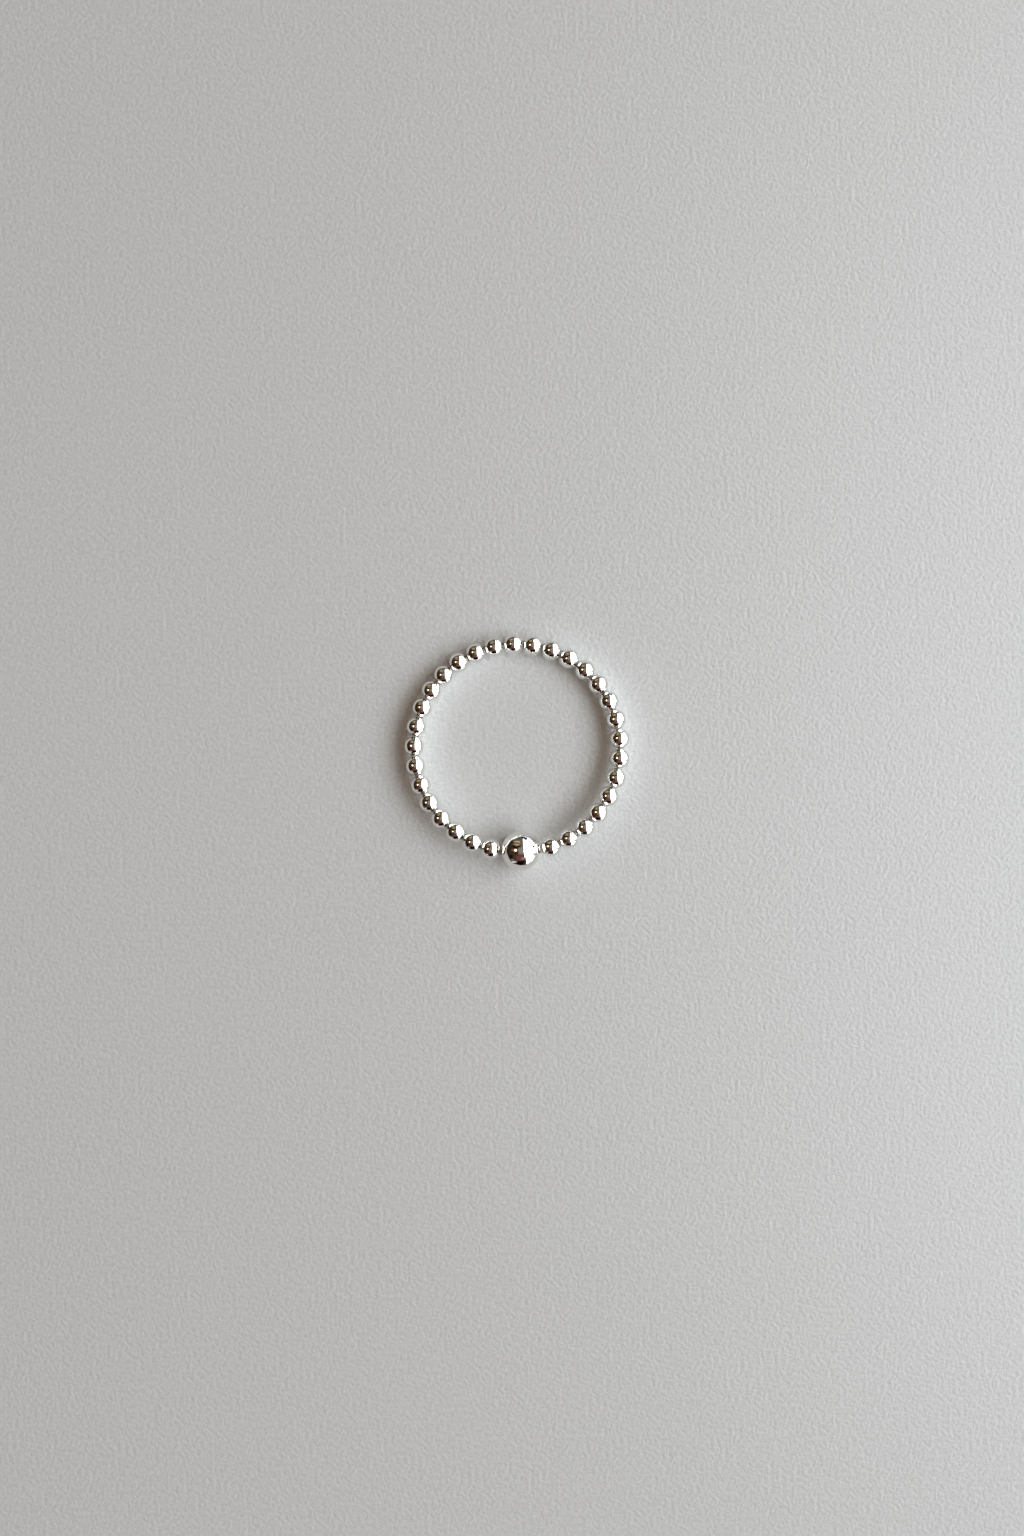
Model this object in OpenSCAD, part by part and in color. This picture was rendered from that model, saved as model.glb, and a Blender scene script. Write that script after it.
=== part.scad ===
// Braid hair ring: small polished round beads and one large one, strung on an elastic thread.
// The thread is taut, so the ring keeps its form. It lies on a flat surface, where the large
// bead lifts its own side and the ring's plane leans down to the bead opposite.
// Millimetres. The surface is z = 0, and the large bead lies towards -Y.

/* [Beads] */
// Number of small beads on the thread
bead_count = 31; // [20:1:44]
// Diameter of a small bead
bead_d = 2; // [1.6:0.1:3]
// Diameter of the large bead
large_d = 4; // [3:0.1:6]
// Width of the flat lip round each end of a bead's hole
lip_w = 0.03; // [0.02:0.01:0.1]

/* [Thread] */
// Diameter of the elastic thread
thread_d = 0.5; // [0.3:0.05:0.7]
// Diameter of the knot that closes the thread, inside the large bead
knot_d = 1.2; // [0.8:0.1:1.5]
// Length of the knot along the thread
knot_l = 1.4; // [0.8:0.1:1.8]

/* [Fit] */
// Gap between two neighbours, where their lips come closest
lip_gap = 0.05; // [0.04:0.01:0.15]
// Free room round the thread in a bead's hole
thread_play = 0.1; // [0.05:0.01:0.15]
// Free room round the knot in the large bead
knot_play = 0.15; // [0.05:0.05:0.25]
// How much farther the large bead's joints lie from the ring's middle than the side joints
out_of_round = 0.12; // [0:0.02:0.2]

/* [Hidden] */
$fn = 48;

// A bead's hole, and the outer radius of the flat lip round it
hole_d = thread_d + 2 * thread_play;
lip_r = hole_d / 2 + lip_w;

// Length of each bead along its hole, from lip to lip
function bead_length(d) = 2 * sqrt(pow(d / 2, 2) - pow(lip_r, 2));
bead_l = bead_length(bead_d);
large_l = bead_length(large_d);

// Hollow in the large bead that takes the knot
knot_room_d = max(knot_d, knot_l) + 2 * knot_play;

// The beads' holes meet end to end at joints that lie on one circle. Each bead fills its own
// wedge of that circle, less half a lip gap at each side. A half angle is half of a wedge.

// Radius of the circle on which small beads of half angle a fill their wedges
function joint_r(a) = (lip_gap / 2 + lip_r * sin(a) + bead_l / 2 * cos(a)) / (sin(a) * cos(a));

// Half angle that the small beads leave to the large one
function large_half(a) = 180 - bead_count * a;

// Room that is left over at the large bead's lips when the small beads have half angle a
function spare_room(a) =
    let (b = large_half(a))
    (joint_r(a) * cos(b) - lip_r) * sin(b) - large_l / 2 * cos(b) - lip_gap / 2;

// Half angle at which no room is left over, found by halving the span from low to high
function closing_half(low, high, steps) =
    let (middle = (low + high) / 2)
    steps == 0 ? middle
    : spare_room(middle) > 0 ? closing_half(middle, high, steps - 1)
    : closing_half(low, middle, steps - 1);

widest_large_half = 45;
smallest_half = (180 - widest_large_half) / bead_count;
largest_half = 180 / (bead_count + 1);
halving_steps = 40;
bead_half = closing_half(smallest_half, largest_half, halving_steps);
large_bead_half = large_half(bead_half);
circle_r = joint_r(bead_half);

// Distance of each bead's middle from the middle of the ring, before the ring is drawn out
bead_r = circle_r * cos(bead_half);
large_r = circle_r * cos(large_bead_half);

// The ring is a little out of round: longer along Y and narrower along X by the same share
stretch = out_of_round / 2 / circle_r;
function on_ring(r, turn) = [r * (1 - stretch) * cos(turn), r * (1 + stretch) * sin(turn), 0];
function outward(turn) = atan2((1 - stretch) * sin(turn), (1 + stretch) * cos(turn));

// Directions from the middle, anticlockwise: the large bead, joint i and small bead i.
// Joint 0 is the large bead's right end, and bead i lies between joints i - 1 and i.
large_turn = -90;
function joint_turn(i) = large_turn + large_bead_half + 2 * i * bead_half;
function bead_turn(i) = joint_turn(i - 0.5);

// The ring leans on the large bead and on the bead, or the two beads, opposite
large_y = -on_ring(large_r, large_turn)[1];
far_y = on_ring(bead_r, bead_turn(ceil(bead_count / 2)))[1];
lean = asin((large_d - bead_d) / 2 / (large_y + far_y));
ring_z = bead_d / 2 + far_y * sin(lean);

// Shift that puts the origin in the middle of the ring's outline
ring_y = ((large_y - far_y) * cos(lean) + (large_d - bead_d) / 2) / 2;

// Stations along the thread: [middle, outward direction, radius]. There is one at each joint,
// and a short row of them through the knot.
thread_sides = 12;
knot_steps = 8;
joint_stations = [for (i = [0:bead_count])
    [on_ring(circle_r, joint_turn(i)), outward(joint_turn(i)), thread_d / 2]];
knot_stations = [for (k = [0:knot_steps])
    let (a = 180 * k / knot_steps)
    [on_ring(large_r, large_turn) - [knot_l / 2 * cos(a), 0, 0],
     large_turn,
     thread_d / 2 + (knot_d - thread_d) / 2 * sin(a)]];
thread_stations = concat(joint_stations, knot_stations);

function bead_name(i) = str("bead_", i < 10 ? "0" : "", i);

// Lays the ring down, from its own plane to the surface
module lay_down() {
    translate([0, ring_y, ring_z]) rotate([-lean, 0, 0]) children();
}

// Puts a piece that is modelled at the origin, with its outer side towards +X, on the ring
module put_on_ring(r, turn) {
    translate(on_ring(r, turn)) rotate([0, 0, outward(turn)]) children();
}

// Round bead with its hole along Y, a flat lip at each end and a round room in the middle
module round_bead(d, room_d = 0) {
    difference() {
        intersection() {
            sphere(d = d);
            cube([2 * d, bead_length(d), 2 * d], center = true);
        }
        rotate([90, 0, 0]) cylinder(d = hole_d, h = 2 * d, center = true);
        if (room_d > 0) sphere(d = room_d);
    }
}

module small_bead(i) {
    color("silver") lay_down() put_on_ring(bead_r, bead_turn(i)) round_bead(bead_d);
}

module large_bead() {
    color("lightgray") lay_down() put_on_ring(large_r, large_turn) round_bead(large_d, knot_room_d);
}

// Closed loop through every hole, straight inside each bead, with the knot as a plain swelling
module elastic_thread() {
    count = len(thread_stations);
    points = [for (station = thread_stations, s = [0:thread_sides - 1])
        let (a = 360 * s / thread_sides, turn = station[1])
        station[0] + station[2] * [cos(a) * cos(turn), cos(a) * sin(turn), sin(a)]];
    function corner(i, s) = (i % count) * thread_sides + s % thread_sides;
    faces = [for (i = [0:count - 1], s = [0:thread_sides - 1], first = [true, false])
        first ? [corner(i, s), corner(i, s + 1), corner(i + 1, s + 1)]
        : [corner(i, s), corner(i + 1, s + 1), corner(i + 1, s)]];
    color("whitesmoke") lay_down() polyhedron(points = points, faces = faces, convexity = 4);
}

for (i = [1:bead_count]) small_bead(i);
large_bead();
elastic_thread();
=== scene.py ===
"""Braid hair ring: small polished silver beads and one large one on an elastic thread.

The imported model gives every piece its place. This script replaces its plain solids with finely
made beads and a smooth thread, gives them their finishes, and lays the ring on a pale table
under soft light from a wide window, with the camera straight above as in the photograph.
"""

from __future__ import annotations

import logging
import math
from dataclasses import dataclass, field
from enum import Enum
from functools import cached_property

import bmesh
import bpy
from bmesh.types import BMEdge, BMesh, BMFace, BMVert
from bpy.types import Material, Node, NodeSocket, NodeTree, Object, World
from mathutils import Matrix, Vector


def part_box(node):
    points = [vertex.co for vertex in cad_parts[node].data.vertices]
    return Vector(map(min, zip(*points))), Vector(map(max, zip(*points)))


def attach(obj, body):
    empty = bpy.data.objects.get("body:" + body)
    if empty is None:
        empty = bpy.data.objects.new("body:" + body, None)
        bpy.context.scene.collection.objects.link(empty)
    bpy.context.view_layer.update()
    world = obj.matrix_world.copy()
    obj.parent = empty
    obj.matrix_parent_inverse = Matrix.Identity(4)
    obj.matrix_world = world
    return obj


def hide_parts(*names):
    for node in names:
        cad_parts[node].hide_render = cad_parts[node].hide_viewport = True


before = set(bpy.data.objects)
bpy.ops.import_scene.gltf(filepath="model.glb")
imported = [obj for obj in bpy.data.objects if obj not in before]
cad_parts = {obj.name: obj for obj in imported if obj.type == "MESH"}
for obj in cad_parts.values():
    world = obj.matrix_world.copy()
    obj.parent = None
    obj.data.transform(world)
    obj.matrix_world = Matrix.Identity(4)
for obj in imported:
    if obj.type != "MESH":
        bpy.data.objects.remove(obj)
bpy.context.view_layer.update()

log = logging.getLogger("braid_hair_ring")

MM = 0.001
BODY = "root"
ALL_BOUNCES = 16
GLOSSY_BOUNCES = 12

# The sRGB curve: straight up to the foot, and a power curve above it.
SRGB_FOOT = 0.04045
SRGB_FOOT_SLOPE = 12.92
SRGB_OFFSET = 0.055
SRGB_POWER = 2.4

# A noise texture gives 0 to 1, and nearly all of it lies between these two.
NOISE_LOW = 0.35
NOISE_HIGH = 0.65


class Slot(Enum):
    """Material slots of the part's record."""

    SILVER = "polished_silver"
    ELASTIC = "clear_elastic"


class CardForm(Enum):
    """Outline of a card on the studio's dome."""

    BOX = "box"
    OVAL = "oval"


def linear(hex_colour: str) -> tuple[float, float, float, float]:
    """Turns an sRGB hex colour into linear RGBA.

    Args:
        hex_colour: Six hex digits, with or without a leading hash.

    Returns:
        Linear red, green and blue, and an alpha of 1.
    """
    digits = hex_colour.lstrip("#")
    channels = []
    for start in (0, 2, 4):
        tone = int(digits[start:start + 2], 16) / 255
        on_curve = ((tone + SRGB_OFFSET) / (1 + SRGB_OFFSET)) ** SRGB_POWER
        channels.append(on_curve if tone > SRGB_FOOT else tone / SRGB_FOOT_SLOPE)
    red, green, blue = channels
    return red, green, blue, 1.0


def add_node(
    tree: NodeTree,
    kind: str,
    settings: dict[str, object] | None = None,
    values: dict[str | int, object] | None = None,
    links: dict[str | int, NodeSocket] | None = None,
) -> Node:
    """Adds one node with its settings, input values and incoming links.

    Args:
        tree: Node tree that gets the node.
        kind: Blender's name of the node's type.
        settings: Properties of the node, by name.
        values: Values of input sockets, by name or number.
        links: Output sockets to join to input sockets, by name or number.

    Returns:
        The new node.
    """
    node = tree.nodes.new(kind)
    for name, value in (settings or {}).items():
        setattr(node, name, value)
    for key, value in (values or {}).items():
        node.inputs[key].default_value = value
    for key, socket in (links or {}).items():
        tree.links.new(socket, node.inputs[key])
    return node


def new_material(name: str) -> tuple[Material, NodeTree]:
    """Makes an empty node material.

    Args:
        name: Name of the material.

    Returns:
        The material and its emptied node tree.
    """
    material = bpy.data.materials.new(name)
    material.use_nodes = True
    material.node_tree.nodes.clear()
    return material, material.node_tree


def put_in_order(shape: BMesh) -> None:
    """Sorts edges and faces by their vertices, because a full spin leaves them in no set order.

    Args:
        shape: Mesh whose vertices are in their final order.
    """
    shape.verts.index_update()
    count = len(shape.verts)

    def rank(part: BMEdge | BMFace) -> int:
        """Gives the number that sorts a part by its lowest vertex, and then by its highest."""
        numbers = [vert.index for vert in part.verts]
        return min(numbers) * count + max(numbers)

    shape.edges.sort(key=rank)
    shape.faces.sort(key=rank)


def finish_piece(shape: BMesh, name: str, material: Material) -> Object:
    """Turns a finished bmesh into a smooth-shaded object at the origin.

    Args:
        shape: Shape of the piece, already in its place. It is freed here.
        name: Name of the piece.
        material: Finish of the piece.

    Returns:
        The new object, linked to the scene.
    """
    mesh = bpy.data.meshes.new(name)
    shape.to_mesh(mesh)
    shape.free()
    mesh.polygons.foreach_set("use_smooth", [True] * len(mesh.polygons))
    mesh.materials.append(material)
    piece = bpy.data.objects.new(name, mesh)
    bpy.context.scene.collection.objects.link(piece)
    return piece


@dataclass(frozen=True)
class PolishedSilver:
    """Sterling silver, barrel polished. Sizes are in metres."""

    # Barrel polishing gives the eye a near mirror: the room shows in each bead, a little wavy, and
    # only the hollows round the holes, which the polish doesn't reach, stay darker and duller.
    # Its real hairline marks are a few microns apart, too fine to show, so they are drawn far wider.
    face: str = "#F4F2EE"
    film: str = "#6B5C50"
    roughness: float = 0.035
    film_roughness: float = 0.22
    mark_spacing: float = 0.09 * MM
    mark_depth: float = 0.0015 * MM
    mark_detail: float = 2.0
    mark_bend: float = 0.4
    wave_size: float = 0.6 * MM
    wave_depth: float = 0.03 * MM
    wave_detail: float = 0.0
    cloud_size: float = 0.7 * MM
    cloud_detail: float = 3.0
    cloud_grit: float = 0.6
    cloud_roughness: float = 0.05

    def make(self) -> Material:
        """Builds the material.

        Returns:
            The silver material. It reads the piece's attribute "recess" for the film near the holes.
        """
        material, tree = new_material("sterling_silver_barrel_polished")
        place = add_node(tree, "ShaderNodeTexCoord").outputs["Object"]
        recess = add_node(tree, "ShaderNodeAttribute", {"attribute_name": "recess"}).outputs["Fac"]
        clouds = add_node(
            tree, "ShaderNodeTexNoise",
            values={"Scale": 1 / self.cloud_size, "Detail": self.cloud_detail,
                    "Roughness": self.cloud_grit},
            links={"Vector": place},
        )
        cloud_rough = add_node(
            tree, "ShaderNodeMapRange",
            values={"From Min": NOISE_LOW, "From Max": NOISE_HIGH, "To Min": self.roughness,
                    "To Max": self.roughness + self.cloud_roughness},
            links={"Value": clouds.outputs["Fac"]},
        )
        film_share = add_node(
            tree, "ShaderNodeMath", {"operation": "MULTIPLY"},
            links={0: recess, 1: clouds.outputs["Fac"]},
        )
        rough = add_node(
            tree, "ShaderNodeMix", {"data_type": "FLOAT"}, {"B": self.film_roughness},
            {"Factor": film_share.outputs["Value"], "A": cloud_rough.outputs["Result"]},
        )
        colour = add_node(
            tree, "ShaderNodeMix", {"data_type": "RGBA"},
            {"A": linear(self.face), "B": linear(self.film)}, {"Factor": film_share.outputs["Value"]},
        )
        marks = add_node(
            tree, "ShaderNodeTexNoise",
            values={"Scale": 1 / self.mark_spacing, "Detail": self.mark_detail,
                    "Distortion": self.mark_bend},
            links={"Vector": place},
        )
        mark_bump = add_node(
            tree, "ShaderNodeBump", values={"Distance": self.mark_depth},
            links={"Height": marks.outputs["Fac"]},
        )
        waves = add_node(
            tree, "ShaderNodeTexNoise",
            values={"Scale": 1 / self.wave_size, "Detail": self.wave_detail},
            links={"Vector": place},
        )
        bump = add_node(
            tree, "ShaderNodeBump", values={"Distance": self.wave_depth},
            links={"Height": waves.outputs["Fac"], "Normal": mark_bump.outputs["Normal"]},
        )
        shader = add_node(
            tree, "ShaderNodeBsdfPrincipled", values={"Metallic": 1.0},
            links={"Base Color": colour.outputs["Result"], "Roughness": rough.outputs["Result"],
                   "Normal": bump.outputs["Normal"]},
        )
        add_node(tree, "ShaderNodeOutputMaterial", links={"Surface": shader.outputs["BSDF"]})
        return material


@dataclass(frozen=True)
class ClearElastic:
    """Clear polyurethane elastic, extruded. Sizes are in metres."""

    # Extruding gives the eye a smooth, slightly milky strand with faint draw lines along its length.
    # Real draw lines are a hundredth of a millimetre apart, too fine to show, so they are drawn wider.
    colour: str = "#DFE2DF"
    milk: str = "#C3C8C4"
    roughness: float = 0.28
    refraction: float = 1.5
    transmission: float = 0.45
    line_spacing: float = 0.06 * MM
    line_depth: float = 0.003 * MM
    line_detail: float = 1.0
    milk_size: float = 0.9 * MM
    milk_detail: float = 2.0

    def make(self) -> Material:
        """Builds the material.

        Returns:
            The elastic's material. It reads the piece's attribute "section" for the lines along it.
        """
        material, tree = new_material("polyurethane_elastic_extruded")
        place = add_node(tree, "ShaderNodeTexCoord").outputs["Object"]
        section = add_node(tree, "ShaderNodeAttribute", {"attribute_name": "section"}).outputs["Vector"]
        lines = add_node(
            tree, "ShaderNodeTexNoise",
            values={"Scale": 1 / self.line_spacing, "Detail": self.line_detail},
            links={"Vector": section},
        )
        bump = add_node(
            tree, "ShaderNodeBump", values={"Distance": self.line_depth},
            links={"Height": lines.outputs["Fac"]},
        )
        clouds = add_node(
            tree, "ShaderNodeTexNoise",
            values={"Scale": 1 / self.milk_size, "Detail": self.milk_detail},
            links={"Vector": place},
        )
        colour = add_node(
            tree, "ShaderNodeMix", {"data_type": "RGBA"},
            {"A": linear(self.colour), "B": linear(self.milk)}, {"Factor": clouds.outputs["Fac"]},
        )
        shader = add_node(
            tree, "ShaderNodeBsdfPrincipled",
            values={"Roughness": self.roughness, "IOR": self.refraction,
                    "Transmission Weight": self.transmission},
            links={"Base Color": colour.outputs["Result"], "Normal": bump.outputs["Normal"]},
        )
        add_node(tree, "ShaderNodeOutputMaterial", links={"Surface": shader.outputs["BSDF"]})
        return material


@dataclass(frozen=True)
class PressedBoard:
    """White melamine board, pressed against a structured plate. Sizes are in metres."""

    # Pressing gives the eye a fine leathery grain in small lights and shades, and a low sheen. The
    # sheen fades where the board is seen at a slant, so that the window doesn't glare on it there.
    colour: str = "#D9DAD9"
    grain_colour: str = "#CFD0CF"
    roughness: float = 0.42
    grain_size: float = 0.38 * MM
    grain_depth: float = 0.07 * MM
    grain_detail: float = 2.0
    grain_grit: float = 0.55
    sheen: float = 0.42
    sheen_end: float = 0.5

    def make(self) -> Material:
        """Builds the material.

        Returns:
            The board's material.
        """
        material, tree = new_material("melamine_board_pressed")
        place = add_node(tree, "ShaderNodeTexCoord").outputs["Object"]
        grain = add_node(
            tree, "ShaderNodeTexNoise",
            values={"Scale": 1 / self.grain_size, "Detail": self.grain_detail,
                    "Roughness": self.grain_grit},
            links={"Vector": place},
        )
        share = add_node(
            tree, "ShaderNodeMapRange", values={"From Min": NOISE_LOW, "From Max": NOISE_HIGH},
            links={"Value": grain.outputs["Fac"]},
        )
        colour = add_node(
            tree, "ShaderNodeMix", {"data_type": "RGBA"},
            {"A": linear(self.colour), "B": linear(self.grain_colour)},
            {"Factor": share.outputs["Result"]},
        )
        bump = add_node(
            tree, "ShaderNodeBump", values={"Distance": self.grain_depth},
            links={"Height": grain.outputs["Fac"]},
        )
        slant = add_node(tree, "ShaderNodeLayerWeight").outputs["Facing"]
        sheen = add_node(
            tree, "ShaderNodeMapRange", {"interpolation_type": "SMOOTHSTEP"},
            {"From Max": self.sheen_end, "To Min": self.sheen, "To Max": 0.0}, {"Value": slant},
        )
        shader = add_node(
            tree, "ShaderNodeBsdfPrincipled", values={"Roughness": self.roughness},
            links={"Base Color": colour.outputs["Result"], "Normal": bump.outputs["Normal"],
                   "Specular IOR Level": sheen.outputs["Result"]},
        )
        add_node(tree, "ShaderNodeOutputMaterial", links={"Surface": shader.outputs["BSDF"]})
        return material


@dataclass(frozen=True)
class RingPlan:
    """Sizes of the ring, and the places that follow from them, as in the solids.

    Lengths are in millimetres and angles in radians.
    """

    bead_count: int = 31
    bead_d: float = 2.0
    large_d: float = 4.0
    lip_w: float = 0.03
    lip_gap: float = 0.05
    thread_d: float = 0.5
    thread_play: float = 0.1
    knot_d: float = 1.2
    knot_l: float = 1.4
    knot_play: float = 0.15
    out_of_round: float = 0.12
    large_turn: float = -math.pi / 2
    widest_large_half: float = math.pi / 4
    halvings: int = 40

    @property
    def hole_r(self) -> float:
        """Radius of a bead's hole."""
        return self.thread_d / 2 + self.thread_play

    @property
    def lip_r(self) -> float:
        """Outer radius of the lip round a bead's hole."""
        return self.hole_r + self.lip_w

    @property
    def knot_room_r(self) -> float:
        """Radius of the round room for the knot in the large bead."""
        return max(self.knot_d, self.knot_l) / 2 + self.knot_play

    def half_length(self, diameter: float) -> float:
        """Distance from the middle of a bead of that diameter to its lips."""
        return math.sqrt((diameter / 2) ** 2 - self.lip_r**2)

    def joint_r(self, half: float) -> float:
        """Works out how far from the ring's middle the small beads meet.

        Args:
            half: Half angle of a small bead's wedge.

        Returns:
            Radius of the circle on which small beads of that half angle fill their wedges.
        """
        bead_share = self.half_length(self.bead_d) * math.cos(half)
        reach = self.lip_gap / 2 + self.lip_r * math.sin(half) + bead_share
        return reach / (math.sin(half) * math.cos(half))

    def spare_room(self, half: float) -> float:
        """Works out the room left over at the large bead's lips.

        Args:
            half: Half angle of a small bead's wedge.

        Returns:
            The room at each lip: 0 where the ring closes, less where it is too tight.
        """
        large_half = math.pi - self.bead_count * half
        side = (self.joint_r(half) * math.cos(large_half) - self.lip_r) * math.sin(large_half)
        return side - self.half_length(self.large_d) * math.cos(large_half) - self.lip_gap / 2

    @cached_property
    def bead_half(self) -> float:
        """Half angle of a small bead's wedge, found by halving the span from low to high.

        Returns:
            The half angle with which the ring closes.
        """
        low = (math.pi - self.widest_large_half) / self.bead_count
        high = math.pi / (self.bead_count + 1)
        for _ in range(self.halvings):
            middle = (low + high) / 2
            low, high = (middle, high) if self.spare_room(middle) > 0 else (low, middle)
        return (low + high) / 2

    @property
    def large_half(self) -> float:
        """Half angle of the large bead's wedge."""
        return math.pi - self.bead_count * self.bead_half

    @property
    def stretch(self) -> float:
        """Share by which the ring is longer one way, and shorter the other, than a round one."""
        return self.out_of_round / 2 / self.joint_r(self.bead_half)

    def joint_turn(self, number: float) -> float:
        """Direction of a joint from the ring's middle. Joint 0 is the large bead's right end."""
        return self.large_turn + self.large_half + 2 * number * self.bead_half

    def bead_turn(self, number: int) -> float:
        """Direction of a small bead from the ring's middle, halfway between its two joints."""
        return self.joint_turn(number - 1 / 2)

    def on_ring(self, radius: float, turn: float) -> Vector:
        """Finds a point of the ring.

        Args:
            radius: Distance from the ring's middle, were the ring round.
            turn: Direction from the ring's middle.

        Returns:
            The point, drawn out of round as the ring is.
        """
        across = radius * (1 - self.stretch) * math.cos(turn)
        along = radius * (1 + self.stretch) * math.sin(turn)
        return Vector((across, along, 0))

    def outward(self, turn: float) -> float:
        """Direction in which a piece at that turn faces away from the ring's middle."""
        return math.atan2((1 - self.stretch) * math.sin(turn), (1 + self.stretch) * math.cos(turn))

    def lay_down(self) -> Matrix:
        """Works out how the flat ring lies on the table, leaning on the large bead.

        Returns:
            Matrix from the ring's own plane, in millimetres, to the row frame, in metres.
        """
        bead_r = self.joint_r(self.bead_half) * math.cos(self.bead_half)
        large_r = self.joint_r(self.bead_half) * math.cos(self.large_half)
        far_number = math.ceil(self.bead_count / 2)
        rise = (self.large_d - self.bead_d) / 2
        large_y = -self.on_ring(large_r, self.large_turn).y
        far_y = self.on_ring(bead_r, self.bead_turn(far_number)).y
        lean = math.asin(rise / (large_y + far_y))
        back = ((large_y - far_y) * math.cos(lean) + rise) / 2
        up = self.bead_d / 2 + far_y * math.sin(lean)
        tip = Matrix.Rotation(-lean, 4, "X")
        return Matrix.Scale(MM, 4) @ Matrix.Translation(Vector((0, back, up))) @ tip

    def place(self, half: float, turn: float) -> Matrix:
        """Works out the place of a bead on the ring.

        Args:
            half: Half angle of the bead's wedge.
            turn: Direction of the bead from the ring's middle.

        Returns:
            Matrix from millimetres, with the hole along Y and the outer side at +X, to the row frame.
        """
        spot = self.on_ring(self.joint_r(self.bead_half) * math.cos(half), turn)
        return self.lay_down() @ Matrix.Translation(spot) @ Matrix.Rotation(self.outward(turn), 4, "Z")

    def small_place(self, number: int) -> Matrix:
        """Matrix that puts small bead number 1 to bead_count in its place."""
        return self.place(self.bead_half, self.bead_turn(number))

    def large_place(self) -> Matrix:
        """Matrix that puts the large bead in its place."""
        return self.place(self.large_half, self.large_turn)


@dataclass
class RoundBead:
    """A drilled ball with rolled lips at its hole's ends, turned from one profile.

    Sizes are in millimetres. A point within end_reach of a lip's flat end lies on it, and vertices
    within merge_reach of each other are merged.
    """

    diameter: float
    hole_r: float
    lip_r: float
    room_r: float = 0.0
    arc_steps: int = 36
    turn_steps: int = 64
    room_steps: int = 12
    lip_round: float = 0.014
    lip_segments: int = 3
    recess_reach: float = 0.28
    end_reach: float = 0.0014
    merge_reach: float = 0.00014

    @property
    def half_length(self) -> float:
        """Distance of the lips from the bead's middle."""
        return math.sqrt((self.diameter / 2) ** 2 - self.lip_r**2)

    def swing(self, shape: BMesh, start: BMVert, angle: float, steps: int) -> BMVert:
        """Draws the profile on along an arc round the bead's middle.

        Args:
            shape: Mesh that holds the profile.
            start: Vertex to draw on from.
            angle: Angle of the arc about Z.
            steps: Number of edges along the arc.

        Returns:
            The vertex at the arc's end.
        """
        swept = bmesh.ops.spin(
            shape, geom=[start], axis=(0, 0, 1), cent=(0, 0, 0), angle=angle, steps=steps,
        )
        return next(g for g in swept["geom_last"] if isinstance(g, BMVert))

    def draw_to(self, shape: BMesh, start: BMVert, x: float, y: float) -> BMVert:
        """Draws the profile on straight to a point.

        Args:
            shape: Mesh that holds the profile.
            start: Vertex to draw on from.
            x: Distance of the point from the hole's axis.
            y: Place of the point along the hole.

        Returns:
            The vertex at the point.
        """
        end = bmesh.ops.extrude_vert_indiv(shape, verts=[start])["verts"][0]
        end.co = (x, y, 0)
        return end

    def draw_profile(self, shape: BMesh) -> None:
        """Draws half the bead's section in the XY plane: outside, lips, hole and any room inside.

        Args:
            shape: Empty mesh that gets the profile.
        """
        start = shape.verts.new((self.lip_r, -self.half_length, 0))
        corner = self.swing(shape, start, 2 * math.atan2(self.half_length, self.lip_r), self.arc_steps)
        corner = self.draw_to(shape, corner, self.hole_r, self.half_length)
        if self.room_r:
            mouth = math.sqrt(self.room_r**2 - self.hole_r**2)
            corner = self.draw_to(shape, corner, self.hole_r, mouth)
            corner = self.swing(shape, corner, -2 * math.atan2(mouth, self.hole_r), self.room_steps)
        corner = self.draw_to(shape, corner, self.hole_r, -self.half_length)
        shape.edges.new((corner, start))

    def roll_lips(self, shape: BMesh) -> None:
        """Rolls the lips' edges, which are the profile's corners at its two ends.

        Args:
            shape: Mesh that holds the profile.
        """
        corners = [v for v in shape.verts if abs(abs(v.co.y) - self.half_length) < self.end_reach]
        bmesh.ops.bevel(
            shape, geom=corners, affect="VERTICES", offset=self.lip_round, offset_type="OFFSET",
            segments=self.lip_segments, profile=0.5, clamp_overlap=True, material=-1,
        )

    def turn(self) -> BMesh:
        """Turns the profile, with its lips' edges rolled, about the hole's axis.

        Returns:
            The closed bead, with the vertex layer "recess": 1 in the hole, 0 away from it.
        """
        shape = bmesh.new()
        self.draw_profile(shape)
        self.roll_lips(shape)
        bmesh.ops.spin(
            shape, geom=shape.verts[:] + shape.edges[:], axis=(0, 1, 0), cent=(0, 0, 0),
            angle=2 * math.pi, steps=self.turn_steps, use_merge=True,
        )
        bmesh.ops.remove_doubles(shape, verts=shape.verts[:], dist=self.merge_reach)
        bmesh.ops.recalc_face_normals(shape, faces=shape.faces[:])
        put_in_order(shape)
        recess = shape.verts.layers.float.new("recess")
        for vert in shape.verts:
            away = max(0.0, vert.co.xz.length - self.lip_r)
            vert[recess] = max(0.0, 1 - away / self.recess_reach) ** 2
        return shape

    def build(self, name: str, place: Matrix, material: Material) -> Object:
        """Builds the bead in its place.

        Args:
            name: Name of the piece.
            place: Matrix from millimetres at the origin to the row frame.
            material: Finish of the bead.

        Returns:
            The bead's object.
        """
        shape = self.turn()
        bmesh.ops.transform(shape, matrix=place, verts=shape.verts[:])
        return finish_piece(shape, name, material)


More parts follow.
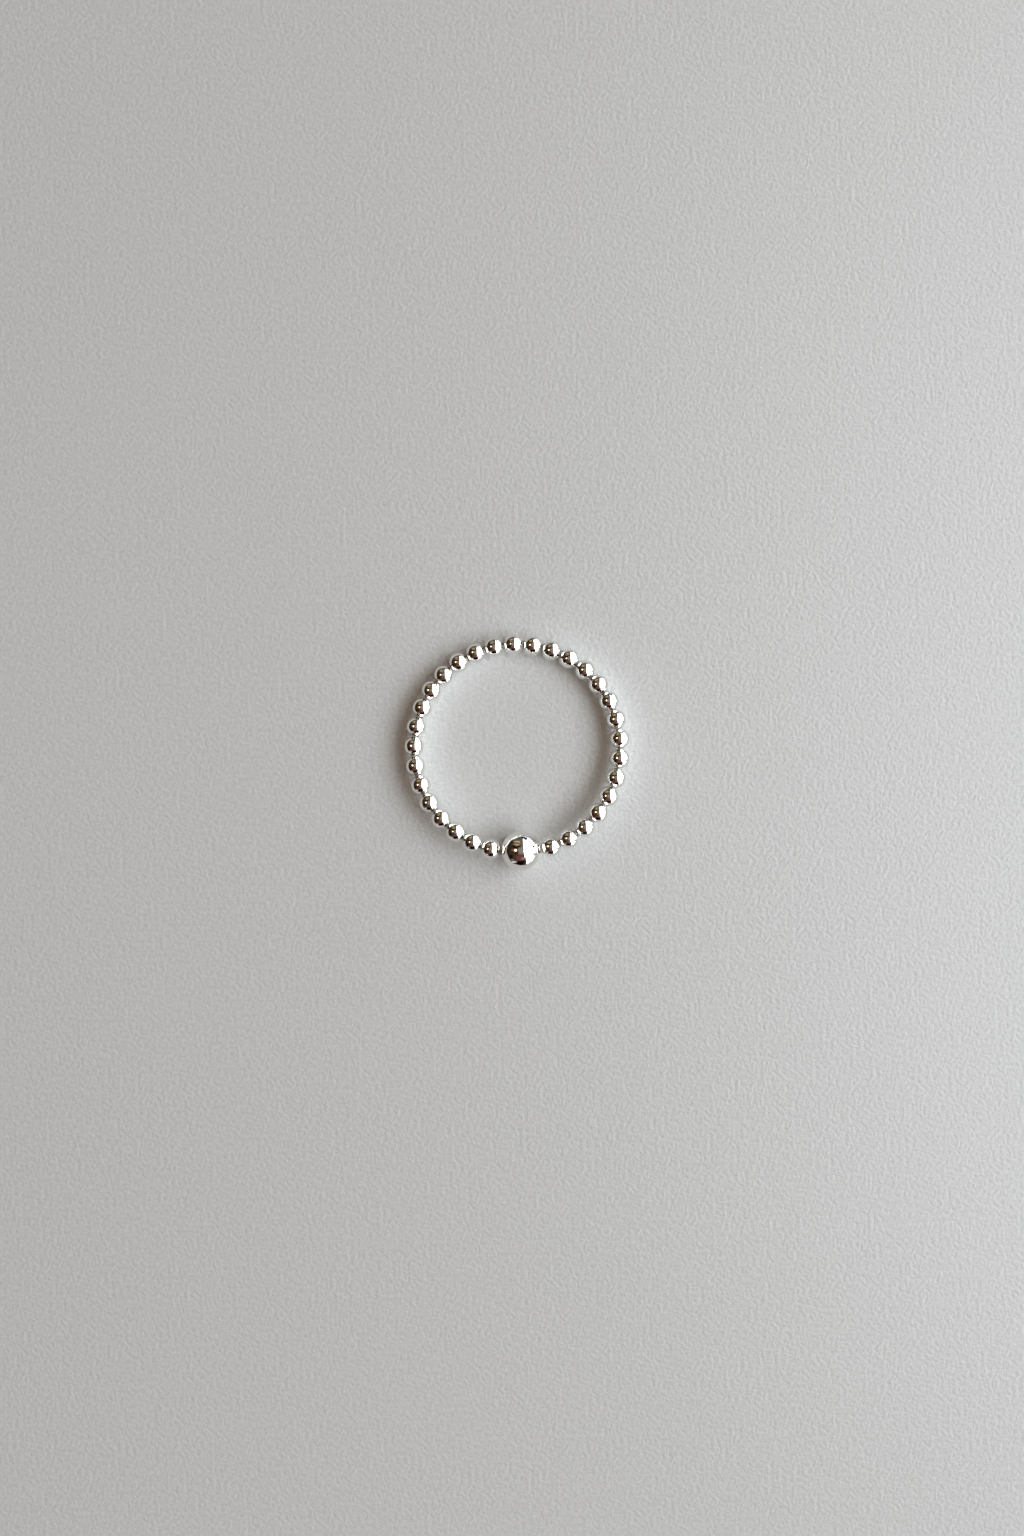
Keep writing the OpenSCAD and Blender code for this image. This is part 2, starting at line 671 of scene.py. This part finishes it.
@dataclass
class ElasticThread:
    """The closed elastic loop through every hole, with its knot as a plain swelling. Millimetres."""

    plan: RingPlan
    sides: int = 20
    knot_steps: int = 12

    def stations(self) -> list[tuple[Vector, float, float]]:
        """Works out the places along the thread: one at each joint, and closer ones over the knot.

        Returns:
            A list of middle, outward direction and radius, in the ring's own plane.
        """
        plan = self.plan
        thread_r = plan.thread_d / 2
        swell = (plan.knot_d - plan.thread_d) / 2
        joint_r = plan.joint_r(plan.bead_half)
        turns = [plan.joint_turn(i) for i in range(plan.bead_count + 1)]
        found = [(plan.on_ring(joint_r, t), plan.outward(t), thread_r) for t in turns]
        knot = plan.on_ring(joint_r * math.cos(plan.large_half), plan.large_turn)
        for step in range(self.knot_steps + 1):
            angle = math.pi * step / self.knot_steps
            along = Vector((-plan.knot_l / 2 * math.cos(angle), 0, 0))
            found.append((knot + along, plan.large_turn, thread_r + swell * math.sin(angle)))
        return found

    def build(self, name: str, material: Material) -> Object:
        """Builds the thread from circles that are bridged into one closed tube.

        Args:
            name: Name of the piece.
            material: Finish of the thread.

        Returns:
            The thread's object. Its vertex layer "section" holds each point's place in the thread's
            own section, in metres, for the draw lines.
        """
        shape = bmesh.new()
        section = shape.verts.layers.float_vector.new("section")
        for middle, outward, radius in self.stations():
            circle = bmesh.ops.create_circle(shape, cap_ends=False, segments=self.sides, radius=radius)
            for vert in circle["verts"]:
                vert[section] = vert.co.normalized() * self.plan.thread_d / 2 * MM
            stand = Matrix.Rotation(outward, 4, "Z") @ Matrix.Rotation(math.pi / 2, 4, "X")
            bmesh.ops.transform(shape, matrix=Matrix.Translation(middle) @ stand, verts=circle["verts"])
        bmesh.ops.bridge_loops(shape, edges=shape.edges[:], use_cyclic=True)
        bmesh.ops.recalc_face_normals(shape, faces=shape.faces[:])
        bmesh.ops.transform(shape, matrix=self.plan.lay_down(), verts=shape.verts[:])
        return finish_piece(shape, name, material)


@dataclass
class HairRing:
    """The whole ring: its plan, its beads and its thread."""

    plan: RingPlan = field(default_factory=RingPlan)
    large_arc_steps: int = 56
    large_turn_steps: int = 96
    place_tolerance: float = 0.02 * MM

    def check_place(self, piece: Object, node: str) -> None:
        """Stops the script if a piece isn't where the solid is that it stands for.

        Args:
            piece: The new piece.
            node: Name of the solid.

        Raises:
            ValueError: The middles of the two lie too far apart.
        """
        low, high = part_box(node)
        corners = [Vector(c) for c in piece.bound_box]
        middle = (Vector(map(min, *corners)) + Vector(map(max, *corners))) / 2
        away = (middle - (low + high) / 2).length
        if away > self.place_tolerance:
            raise ValueError(f"{piece.name} lies {away / MM:.3f} mm from {node}")

    def add(self, piece: Object, node: str, slot: Slot) -> Object:
        """Makes a piece stand for its solid.

        Args:
            piece: The new piece.
            node: Name of the solid.
            slot: Material slot of the record. Not used.

        Returns:
            The same piece.
        """
        self.check_place(piece, node)
        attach(piece, BODY)
        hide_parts(node)
        return piece

    def build(self) -> list[Object]:
        """Builds every piece of the ring.

        Returns:
            The small beads, the large bead and the thread.
        """
        plan = self.plan
        silver = PolishedSilver().make()
        small = RoundBead(plan.bead_d, plan.hole_r, plan.lip_r)
        large = RoundBead(
            plan.large_d, plan.hole_r, plan.lip_r, room_r=plan.knot_room_r,
            arc_steps=self.large_arc_steps, turn_steps=self.large_turn_steps,
        )
        pieces = []
        for number in range(1, plan.bead_count + 1):
            bead = small.build(f"small_bead_{number:02d}", plan.small_place(number), silver)
            pieces.append(self.add(bead, f"bead_{number:02d}", Slot.SILVER))
        bead = large.build("large_round_bead", plan.large_place(), silver)
        pieces.append(self.add(bead, "large_bead", Slot.SILVER))
        thread = ElasticThread(plan).build("stretch_thread", ClearElastic().make())
        pieces.append(self.add(thread, "elastic_thread", Slot.ELASTIC))
        return pieces


@dataclass(frozen=True)
class TableTop:
    """The round table top that the ring lies on. Metres."""

    radius: float = 0.6
    segments: int = 96

    def build(self) -> Object:
        """Builds the table top.

        Returns:
            The table top.
        """
        shape = bmesh.new()
        bmesh.ops.create_circle(shape, cap_ends=True, segments=self.segments, radius=self.radius)
        table = finish_piece(shape, "table_top", PressedBoard().make())
        return table


@dataclass(frozen=True)
class Card:
    """A light, a coloured card or a dark flag on the studio's dome.

    Places and sizes are in the dome's plan, as a mirror ball shows it from above: the middle is
    straight overhead, +X is to the right, and the horizon is at a radius of 0.71. The strength
    multiplies the colour, and the softness is half the width of the card's edge.
    """

    name: str
    centre: tuple[float, float]
    half_size: tuple[float, float]
    colour: str
    strength: float = 1.0
    softness: float = 0.03
    form: CardForm = CardForm.BOX


@dataclass(frozen=True)
class Studio:
    """The studio's dome: dim and warm on the left, with a wide soft window of light on the right.

    The mottle holds the least and the most of the wall's colour that its patches show, and the
    ripple is how far the cards' edges are pushed about in the dome's plan.
    """

    wall: str = "#34271F"
    fill: str = "#73573A"
    backdrop: str = "#C8C9C9"
    noise_detail: float = 3.0
    noise_grit: float = 0.6
    mottle: tuple[float, float] = (0.2, 2.8)
    mottle_scale: float = 13.0
    mottle_shift: tuple[float, float, float] = (11.0, 9.0, 6.0)
    ripple: float = 0.045
    ripple_scale: float = 11.0
    ripple_shifts: tuple[tuple[float, float, float], ...] = ((3.0, 1.0, 2.0), (7.0, 5.0, 4.0))
    window_strength: float = 0.75
    window_shine: float = 6.5
    gap_below: float = 0.001

    def window(self, strength: float) -> Card:
        """The wide soft window on the right, of that strength."""
        return Card("window", (0.65, 0.0), (0.5, 0.9), "#F6FBFC", strength)

    def wall_cards(self) -> list[Card]:
        """Lists the cards and flags on the dim side.

        Returns:
            The cards, each drawn over those before it.
        """
        return [
            Card("far flag", (-0.66, 0.0), (0.13, 0.5), "#2A2218", softness=0.15),
            Card("grey card", (0.0, 0.62), (0.22, 0.14), "#55544D", softness=0.06),
            Card("pale card", (-0.3, 0.66), (0.1, 0.05), "#8A8883", softness=0.05),
            Card("shelf flag", (-0.24, 0.2), (0.17, 0.08), "#1D1510", softness=0.02),
            Card("upper gold card", (-0.17, 0.48), (0.14, 0.03), "#CFBD9A", softness=0.02),
            Card("middle gold card", (-0.17, 0.41), (0.12, 0.018), "#8A7350", softness=0.015),
            Card("lower gold card", (-0.19, 0.34), (0.13, 0.028), "#C2A676", softness=0.02),
            Card("tall grey card", (0.07, 0.3), (0.08, 0.36), "#66645C"),
            Card("overhead card", (0.0, 0.0), (0.14, 0.18), "#8C827C", softness=0.05),
            Card("red card", (-0.04, -0.34), (0.22, 0.12), "#69433C", softness=0.04),
            Card("pink card", (0.1, -0.36), (0.08, 0.035), "#B49C94"),
            Card("side flag", (-0.5, -0.28), (0.12, 0.12), "#161210", softness=0.04),
            Card("front flag", (-0.06, -0.6), (0.22, 0.14), "#0C0B0A"),
            Card("glint", (-0.37, -0.54), (0.09, 0.035), "#E4E4E2", softness=0.02),
            Card("small glint", (-0.43, -0.42), (0.06, 0.022), "#A8A6A2", softness=0.02),
            Card("lamp shade", (-0.33, 0.06), (0.11, 0.06), "#A8845A", 1.0, 0.04, CardForm.OVAL),
            Card("lamp", (-0.28, 0.05), (0.05, 0.06), "#FFEBC4", 5.0, 0.03, CardForm.OVAL),
        ]

    def window_cards(self) -> list[Card]:
        """Lists the small flags that break up the window's reflection.

        Returns:
            The flags, each drawn over those before it.
        """
        return [
            Card("curtain", (0.18, -0.58), (0.09, 0.2), "#33241F"),
            Card("curtain fold", (0.2, -0.36), (0.09, 0.05), "#8C6259", softness=0.02),
            Card("upper window flag", (0.17, 0.66), (0.1, 0.05), "#1B1B19", softness=0.02),
            Card("window flag", (0.27, 0.6), (0.09, 0.06), "#1B1B19", softness=0.02),
            Card("window catch", (0.64, 0.19), (0.055, 0.045), "#3A3A38", softness=0.01),
            Card("window sill", (0.62, -0.2), (0.07, 0.09), "#5A5A58", 1.0, 0.02, CardForm.OVAL),
        ]

    def plan_position(self, tree: NodeTree, direction: NodeSocket) -> list[NodeSocket]:
        """Turns a ray's direction into its place in the dome's plan.

        Args:
            tree: The world's node tree.
            direction: The ray's direction.

        Returns:
            The sockets with the plan's X and Y.
        """
        parts = add_node(tree, "ShaderNodeSeparateXYZ", links={0: direction})
        # Each side of the direction is divided by the root of 2 + 2 z, kept just above 0 straight below.
        square = add_node(
            tree, "ShaderNodeMath", {"operation": "MULTIPLY_ADD"}, {1: 2.0, 2: 2.0 + self.gap_below},
            {0: parts.outputs["Z"]},
        )
        root = add_node(tree, "ShaderNodeMath", {"operation": "SQRT"}, links={0: square.outputs[0]})
        sides = [
            add_node(
                tree, "ShaderNodeMath", {"operation": "DIVIDE"},
                links={0: parts.outputs[axis], 1: root.outputs[0]},
            )
            for axis in ("X", "Y")
        ]
        return [side.outputs[0] for side in sides]

    def fray(self, tree: NodeTree, direction: NodeSocket, sides: list[NodeSocket]) -> list[NodeSocket]:
        """Ripples the plan, so that the cards' straight edges are frayed as things in a room are.

        Args:
            tree: The world's node tree.
            direction: The ray's direction.
            sides: Sockets with the plan's X and Y.

        Returns:
            The two sockets, rippled.
        """
        frayed = []
        for side, shift in zip(sides, self.ripple_shifts):
            moved = add_node(
                tree, "ShaderNodeMapping", values={"Location": shift}, links={"Vector": direction},
            )
            wave = add_node(
                tree, "ShaderNodeTexNoise",
                values={"Scale": self.ripple_scale, "Detail": self.noise_detail,
                        "Roughness": self.noise_grit},
                links={"Vector": moved.outputs["Vector"]},
            )
            push = add_node(
                tree, "ShaderNodeMath", {"operation": "MULTIPLY_ADD"},
                {1: 2 * self.ripple, 2: -self.ripple}, {0: wave.outputs["Fac"]},
            )
            pushed = add_node(
                tree, "ShaderNodeMath", {"operation": "ADD"}, links={0: side, 1: push.outputs[0]},
            )
            frayed.append(pushed.outputs[0])
        return frayed

    def card_share(self, tree: NodeTree, card: Card, sides: list[NodeSocket]) -> NodeSocket:
        """Works out how much a card covers a point of the plan.

        Args:
            tree: The world's node tree.
            card: The card.
            sides: Sockets with the plan's X and Y.

        Returns:
            Socket that is 1 on the card, 0 off it, and between them across its soft edge.
        """
        reach = []
        for socket, centre, half in zip(sides, card.centre, card.half_size):
            for operation, values in (("SUBTRACT", {1: centre}), ("DIVIDE", {1: half}), ("ABSOLUTE", {})):
                step = add_node(tree, "ShaderNodeMath", {"operation": operation}, values, {0: socket})
                socket = step.outputs[0]
            reach.append(socket)
        if card.form is CardForm.OVAL:
            pair = add_node(tree, "ShaderNodeCombineXYZ", links={0: reach[0], 1: reach[1]})
            joined = add_node(
                tree, "ShaderNodeVectorMath", {"operation": "LENGTH"}, links={0: pair.outputs[0]},
            ).outputs["Value"]
        else:
            joined = add_node(
                tree, "ShaderNodeMath", {"operation": "MAXIMUM"}, links={0: reach[0], 1: reach[1]},
            ).outputs[0]
        edge = card.softness / min(card.half_size)
        share = add_node(
            tree, "ShaderNodeMapRange", {"interpolation_type": "SMOOTHSTEP"},
            {"From Min": 1 - edge, "From Max": 1 + edge, "To Min": 1.0, "To Max": 0.0},
            {"Value": joined},
        )
        return share.outputs["Result"]

    def hang(
        self, tree: NodeTree, cards: list[Card], sides: list[NodeSocket], ground: NodeSocket
    ) -> NodeSocket:
        """Hangs cards on the dome.

        Args:
            tree: The world's node tree.
            cards: The cards, each drawn over those before it.
            sides: Sockets with the plan's X and Y.
            ground: Colour that shows between the cards.

        Returns:
            The background that gives off the dome's light.
        """
        light = ground
        for card in cards:
            red, green, blue, opaque = linear(card.colour)
            bright = (red * card.strength, green * card.strength, blue * card.strength, opaque)
            share = self.card_share(tree, card, sides)
            layer = add_node(
                tree, "ShaderNodeMix", {"data_type": "RGBA", "label": card.name}, {"B": bright},
                {"Factor": share, "A": light},
            )
            light = layer.outputs["Result"]
        return add_node(tree, "ShaderNodeBackground", links={"Color": light}).outputs["Background"]

    def mottled_wall(self, tree: NodeTree, direction: NodeSocket) -> NodeSocket:
        """Paints the dim wall in soft patches, so that no part of it is one flat tone.

        Args:
            tree: The world's node tree.
            direction: The ray's direction.

        Returns:
            The wall's colour.
        """
        moved = add_node(
            tree, "ShaderNodeMapping", values={"Location": self.mottle_shift},
            links={"Vector": direction},
        )
        patches = add_node(
            tree, "ShaderNodeTexNoise",
            values={"Scale": self.mottle_scale, "Detail": self.noise_detail,
                    "Roughness": self.noise_grit},
            links={"Vector": moved.outputs["Vector"]},
        )
        strength = add_node(
            tree, "ShaderNodeMapRange",
            values={"From Min": NOISE_LOW, "From Max": NOISE_HIGH, "To Min": self.mottle[0],
                    "To Max": self.mottle[1]},
            links={"Value": patches.outputs["Fac"]},
        )
        painted = add_node(
            tree, "ShaderNodeVectorMath", {"operation": "SCALE"}, {0: linear(self.wall)[:3]},
            {"Scale": strength.outputs["Result"]},
        )
        return painted.outputs["Vector"]

    def build(self) -> World:
        """Builds the world: plain light on the table, cards in reflections, a backdrop behind it all.

        Returns:
            The world.
        """
        world = bpy.data.worlds.new("studio_dome")
        bpy.context.scene.world = world
        world.use_nodes = True
        tree = world.node_tree
        tree.nodes.clear()
        direction = add_node(tree, "ShaderNodeTexCoord").outputs["Generated"]
        sides = self.plan_position(tree, direction)
        window = self.window(self.window_strength)
        bright = add_node(
            tree, "ShaderNodeBackground",
            values={"Color": linear(window.colour), "Strength": window.strength},
        )
        dim = add_node(tree, "ShaderNodeBackground", values={"Color": linear(self.fill)})
        plain = add_node(
            tree, "ShaderNodeMixShader",
            links={0: self.card_share(tree, window, sides), 1: dim.outputs[0], 2: bright.outputs[0]},
        )
        cards = [*self.wall_cards(), self.window(self.window_shine), *self.window_cards()]
        frayed = self.fray(tree, direction, sides)
        full = self.hang(tree, cards, frayed, self.mottled_wall(tree, direction))
        backdrop = add_node(tree, "ShaderNodeBackground", values={"Color": linear(self.backdrop)})
        ray = add_node(tree, "ShaderNodeLightPath").outputs
        dome = add_node(
            tree, "ShaderNodeMixShader", links={0: ray["Is Glossy Ray"], 1: plain.outputs[0], 2: full},
        )
        seen = add_node(
            tree, "ShaderNodeMixShader",
            links={0: ray["Is Camera Ray"], 1: dome.outputs[0], 2: backdrop.outputs[0]},
        )
        add_node(tree, "ShaderNodeOutputWorld", links={"Surface": seen.outputs["Shader"]})
        return world


@dataclass(frozen=True)
class WindowPanel:
    """The near, bright part of the window: a soft panel beside the table, hidden from the camera.

    Place and size are in metres and the power in watts.
    """

    place: tuple[float, float, float] = (0.54, -0.1, 0.5)
    size: tuple[float, float] = (1.0, 0.45)
    power: float = 4.85
    colour: str = "#F0F7FF"

    def build(self) -> Object:
        """Builds the panel, turned to the ring.

        Returns:
            The light.
        """
        data = bpy.data.lights.new("window_panel", "AREA")
        data.shape = "RECTANGLE"
        data.size, data.size_y = self.size
        data.energy = self.power
        data.color = linear(self.colour)[:3]
        panel = bpy.data.objects.new("window_panel", data)
        panel.location = self.place
        panel.rotation_euler = Vector(self.place).to_track_quat("Z", "Y").to_euler()
        panel.visible_camera = False
        bpy.context.scene.collection.objects.link(panel)
        return panel


@dataclass(frozen=True)
class Viewpoint:
    """The photograph's camera: straight above the ring, turned a little. Millimetres and degrees."""

    place: tuple[float, float, float] = (-0.59, -1.57, 116.8)
    roll: float = -2.1
    lens: float = 27.0
    sensor: float = 36.0
    near_limit: float = 1.0
    far_limit: float = 5000.0

    def build(self) -> Object:
        """Makes the scene's camera.

        Returns:
            The camera.
        """
        data = bpy.data.cameras.new("camera")
        data.lens = self.lens
        data.sensor_width = self.sensor
        data.clip_start = self.near_limit * MM
        data.clip_end = self.far_limit * MM
        camera = bpy.data.objects.new("camera", data)
        camera.location = Vector(self.place) * MM
        camera.rotation_euler = (0, 0, math.radians(self.roll))
        bpy.context.scene.collection.objects.link(camera)
        bpy.context.scene.camera = camera
        return camera


def set_view() -> None:
    """Sets plain colours, and enough bounces for the reflections between neighbouring beads."""
    light_paths = bpy.context.scene.cycles
    light_paths.max_bounces = ALL_BOUNCES
    light_paths.glossy_bounces = GLOSSY_BOUNCES
    view = bpy.context.scene.view_settings
    view.view_transform = "Standard"
    view.look = "None"


def main() -> None:
    """Builds the ring and the studio in order, and reports each piece."""
    logging.basicConfig(level=logging.INFO, format="%(message)s")
    log.info("the frame holds %d solids", len(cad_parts))
    log.info("%s is straight above the ring", Viewpoint().build().name)
    set_view()
    for piece in HairRing().build():
        log.info("%s: %s, %d faces", piece.name, piece.active_material.name, len(piece.data.polygons))
    log.info("%s is the stage", TableTop().build().name)
    log.info("%s lights the ring and shows in the beads", Studio().build().name)
    log.info("%s lights the ring", WindowPanel().build().name)


if __name__ == "__main__":
    main()
